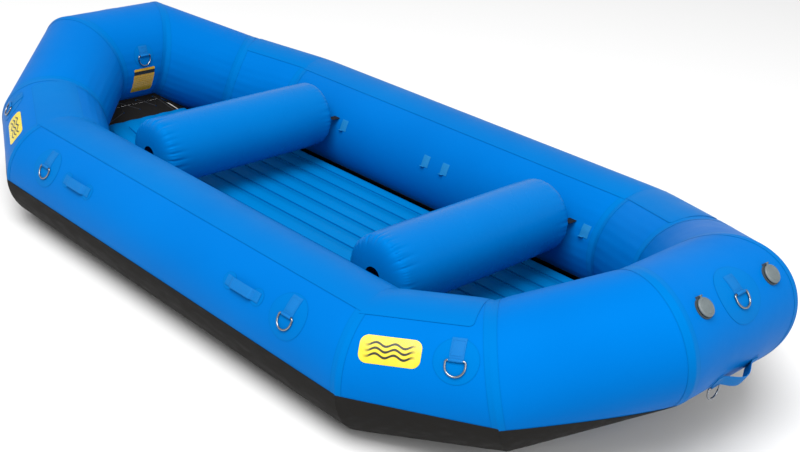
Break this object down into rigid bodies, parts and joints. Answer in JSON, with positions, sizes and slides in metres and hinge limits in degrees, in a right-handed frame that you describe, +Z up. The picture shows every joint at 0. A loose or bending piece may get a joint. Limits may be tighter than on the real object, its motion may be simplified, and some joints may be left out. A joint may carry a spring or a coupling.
{
  "type": "inflatable raft",
  "caption": "Self-bailing inflatable river raft with mitred air tubes, laced I-beam floor, inflated thwarts, hinged D-rings, webbing handles and capped valves.",
  "frame": {"origin": "on the ground under the middle of the hull", "axes": "+X towards the bow, +Y to port, +Z up"},
  "size_m": [4.0314, 2.0484, 0.7235],
  "materials": {
    "hull_fabric": "satin PVC-coated fabric, welded panels",
    "tape_fabric": "satin PVC-coated fabric tape",
    "floor_fabric": "satin coated fabric, drawn in by the inner webs",
    "wear_fabric": "matt charcoal wear fabric",
    "blue_webbing": "coated flat webbing",
    "black_webbing": "woven webbing",
    "ring_steel": "polished stainless wire",
    "spring_wire": "drawn spring wire",
    "valve_grey": "grey moulded nylon",
    "valve_black": "black moulded nylon",
    "lace_cord": "braided cord",
    "badge_vinyl": "yellow printed vinyl",
    "label_vinyl": "orange-yellow printed vinyl"
  },
  "bodies": {
    "hull": {"side_tube_left": "hull_fabric", "side_tube_right": "hull_fabric", "shoulder_tube_front_left": "hull_fabric", "shoulder_tube_front_right": "hull_fabric", "shoulder_tube_rear_left": "hull_fabric", "shoulder_tube_rear_right": "hull_fabric", "corner_tube_front_left": "hull_fabric", "corner_tube_front_right": "hull_fabric", "corner_tube_rear_left": "hull_fabric", "corner_tube_rear_right": "hull_fabric", "bow_tube": "hull_fabric", "stern_tube": "hull_fabric", "wear_wrap_sides": "wear_fabric", "wear_wrap_ends": "wear_fabric", "seam_tapes": "tape_fabric", "top_chafers": "tape_fabric", "chamber_baffles": "wear_fabric", "floor_skin": "floor_fabric", "floor_beams": "floor_fabric", "floor_flange": "wear_fabric", "hull_flange": "wear_fabric", "grommets": "ring_steel", "floor_lacing": "lace_cord", "thwart_front": "hull_fabric", "thwart_rear": "hull_fabric", "thwart_straps": "black_webbing", "tie_tabs": "blue_webbing", "ring_webbing": "blue_webbing", "patches": "tape_fabric", "grab_handles": "blue_webbing", "valve_bodies": "valve_grey", "valve_springs": "spring_wire", "small_valve_bodies": "valve_black", "decals": "badge_vinyl", "info_label": "label_vinyl"},
    "ring_side_front_left": {"ring_side_front_left": "ring_steel"},
    "ring_side_front_right": {"ring_side_front_right": "ring_steel"},
    "ring_side_rear_left": {"ring_side_rear_left": "ring_steel"},
    "ring_side_rear_right": {"ring_side_rear_right": "ring_steel"},
    "ring_shoulder_front_left": {"ring_shoulder_front_left": "ring_steel"},
    "ring_shoulder_front_right": {"ring_shoulder_front_right": "ring_steel"},
    "ring_shoulder_rear_left": {"ring_shoulder_rear_left": "ring_steel"},
    "ring_shoulder_rear_right": {"ring_shoulder_rear_right": "ring_steel"},
    "ring_bow_upper": {"ring_bow_upper": "ring_steel"},
    "ring_bow_lower": {"ring_bow_lower": "ring_steel"},
    "ring_stern_upper": {"ring_stern_upper": "ring_steel"},
    "ring_stern_lower": {"ring_stern_lower": "ring_steel"},
    "ring_stern_inner": {"ring_stern_inner": "ring_steel"},
    "valve_cap_bow_left": {"valve_cap_bow_left": "valve_grey"},
    "plunger_bow_left": {"plunger_bow_left": "valve_black"},
    "valve_cap_bow_right": {"valve_cap_bow_right": "valve_grey"},
    "plunger_bow_right": {"plunger_bow_right": "valve_black"},
    "valve_cap_stern_left": {"valve_cap_stern_left": "valve_grey"},
    "plunger_stern_left": {"plunger_stern_left": "valve_black"},
    "valve_cap_stern_right": {"valve_cap_stern_right": "valve_grey"},
    "plunger_stern_right": {"plunger_stern_right": "valve_black"},
    "small_cap_thwart_front": {"small_cap_thwart_front": "valve_black"},
    "small_cap_thwart_rear": {"small_cap_thwart_rear": "valve_black"},
    "small_cap_floor": {"small_cap_floor": "valve_black"}
  },
  "joints": [
    {"name": "ring_side_front_left_swing", "type": "hinge", "parent": "hull", "child": "ring_side_front_left", "pos_m": [0.816, 0.98942, 0.39486], "axis": [1, 0, 0], "range_deg": [0, 150]},
    {"name": "ring_side_front_right_swing", "type": "hinge", "parent": "hull", "child": "ring_side_front_right", "pos_m": [0.816, -0.98942, 0.39486], "axis": [-1, 0, 0], "range_deg": [0, 150]},
    {"name": "ring_side_rear_left_swing", "type": "hinge", "parent": "hull", "child": "ring_side_rear_left", "pos_m": [-0.816, 0.98942, 0.39486], "axis": [1, 0, 0], "range_deg": [0, 150]},
    {"name": "ring_side_rear_right_swing", "type": "hinge", "parent": "hull", "child": "ring_side_rear_right", "pos_m": [-0.816, -0.98942, 0.39486], "axis": [-1, 0, 0], "range_deg": [0, 150]},
    {"name": "ring_shoulder_front_left_swing", "type": "hinge", "parent": "hull", "child": "ring_shoulder_front_left", "pos_m": [1.4447, 0.81008, 0.45484], "axis": [0.89, -0.4348, 0.1374], "range_deg": [0, 150]},
    {"name": "ring_shoulder_front_right_swing", "type": "hinge", "parent": "hull", "child": "ring_shoulder_front_right", "pos_m": [1.4447, -0.81008, 0.45484], "axis": [-0.89, -0.4348, -0.1374], "range_deg": [0, 150]},
    {"name": "ring_shoulder_rear_left_swing", "type": "hinge", "parent": "hull", "child": "ring_shoulder_rear_left", "pos_m": [-1.4447, 0.81008, 0.45484], "axis": [0.89, 0.4348, -0.1374], "range_deg": [0, 150]},
    {"name": "ring_shoulder_rear_right_swing", "type": "hinge", "parent": "hull", "child": "ring_shoulder_rear_right", "pos_m": [-1.4447, -0.81008, 0.45484], "axis": [-0.89, 0.4348, 0.1374], "range_deg": [0, 150]},
    {"name": "ring_bow_upper_swing", "type": "hinge", "parent": "hull", "child": "ring_bow_upper", "pos_m": [1.92843, 0, 0.65693], "axis": [0, -1, 0], "range_deg": [0, 150]},
    {"name": "ring_bow_lower_swing", "type": "hinge", "parent": "hull", "child": "ring_bow_lower", "pos_m": [1.91248, 0, 0.29144], "axis": [0, -1, 0], "range_deg": [-55, 100]},
    {"name": "ring_stern_upper_swing", "type": "hinge", "parent": "hull", "child": "ring_stern_upper", "pos_m": [-1.92843, 0, 0.65693], "axis": [0, 1, 0], "range_deg": [0, 150]},
    {"name": "ring_stern_lower_swing", "type": "hinge", "parent": "hull", "child": "ring_stern_lower", "pos_m": [-1.91248, 0, 0.29144], "axis": [0, 1, 0], "range_deg": [-55, 100]},
    {"name": "ring_stern_inner_swing", "type": "hinge", "parent": "hull", "child": "ring_stern_inner", "pos_m": [-1.51227, 0, 0.54152], "axis": [0, -1, 0], "range_deg": [0, 150]},
    {"name": "cap_hinge_bow_left", "type": "hinge", "parent": "hull", "child": "valve_cap_bow_left", "pos_m": [1.89666, 0.196, 0.69347], "axis": [0, -1, 0], "range_deg": [0, 150]},
    {"name": "plunger_push_bow_left", "type": "slide", "parent": "hull", "child": "plunger_bow_left", "axis": [-0.682, 0, -0.7314], "range_m": [0, 0.006], "stiffness_N_per_m": 250, "springref_m": -0.006, "deforming": ["valve_springs"]},
    {"name": "cap_hinge_bow_right", "type": "hinge", "parent": "hull", "child": "valve_cap_bow_right", "pos_m": [1.89666, -0.196, 0.69347], "axis": [0, -1, 0], "range_deg": [0, 150]},
    {"name": "plunger_push_bow_right", "type": "slide", "parent": "hull", "child": "plunger_bow_right", "axis": [-0.682, 0, -0.7314], "range_m": [0, 0.006], "stiffness_N_per_m": 250, "springref_m": -0.006, "deforming": ["valve_springs"]},
    {"name": "cap_hinge_stern_left", "type": "hinge", "parent": "hull", "child": "valve_cap_stern_left", "pos_m": [-1.97723, 0.196, 0.60515], "axis": [0, 1, 0], "range_deg": [0, 150]},
    {"name": "plunger_push_stern_left", "type": "slide", "parent": "hull", "child": "plunger_stern_left", "axis": [0.9397, 0, -0.342], "range_m": [0, 0.006], "stiffness_N_per_m": 250, "springref_m": -0.006, "deforming": ["valve_springs"]},
    {"name": "cap_hinge_stern_right", "type": "hinge", "parent": "hull", "child": "valve_cap_stern_right", "pos_m": [-1.97723, -0.196, 0.60515], "axis": [0, 1, 0], "range_deg": [0, 150]},
    {"name": "plunger_push_stern_right", "type": "slide", "parent": "hull", "child": "plunger_stern_right", "axis": [0.9397, 0, -0.342], "range_m": [0, 0.006], "stiffness_N_per_m": 250, "springref_m": -0.006, "deforming": ["valve_springs"]},
    {"name": "small_cap_twist_thwart_front", "type": "hinge", "parent": "hull", "child": "small_cap_thwart_front", "pos_m": [0.58865, 0.28, 0.41972], "axis": [-0.9397, 0, 0.342], "range_deg": [0, 90]},
    {"name": "small_cap_twist_thwart_rear", "type": "hinge", "parent": "hull", "child": "small_cap_thwart_rear", "pos_m": [-0.88935, 0.28, 0.41972], "axis": [-0.9397, 0, 0.342], "range_deg": [0, 90]},
    {"name": "small_cap_twist_floor", "type": "hinge", "parent": "hull", "child": "small_cap_floor", "pos_m": [0.98, 0, 0.13], "axis": [0, 0, 1], "range_deg": [0, 90]}
  ]
}
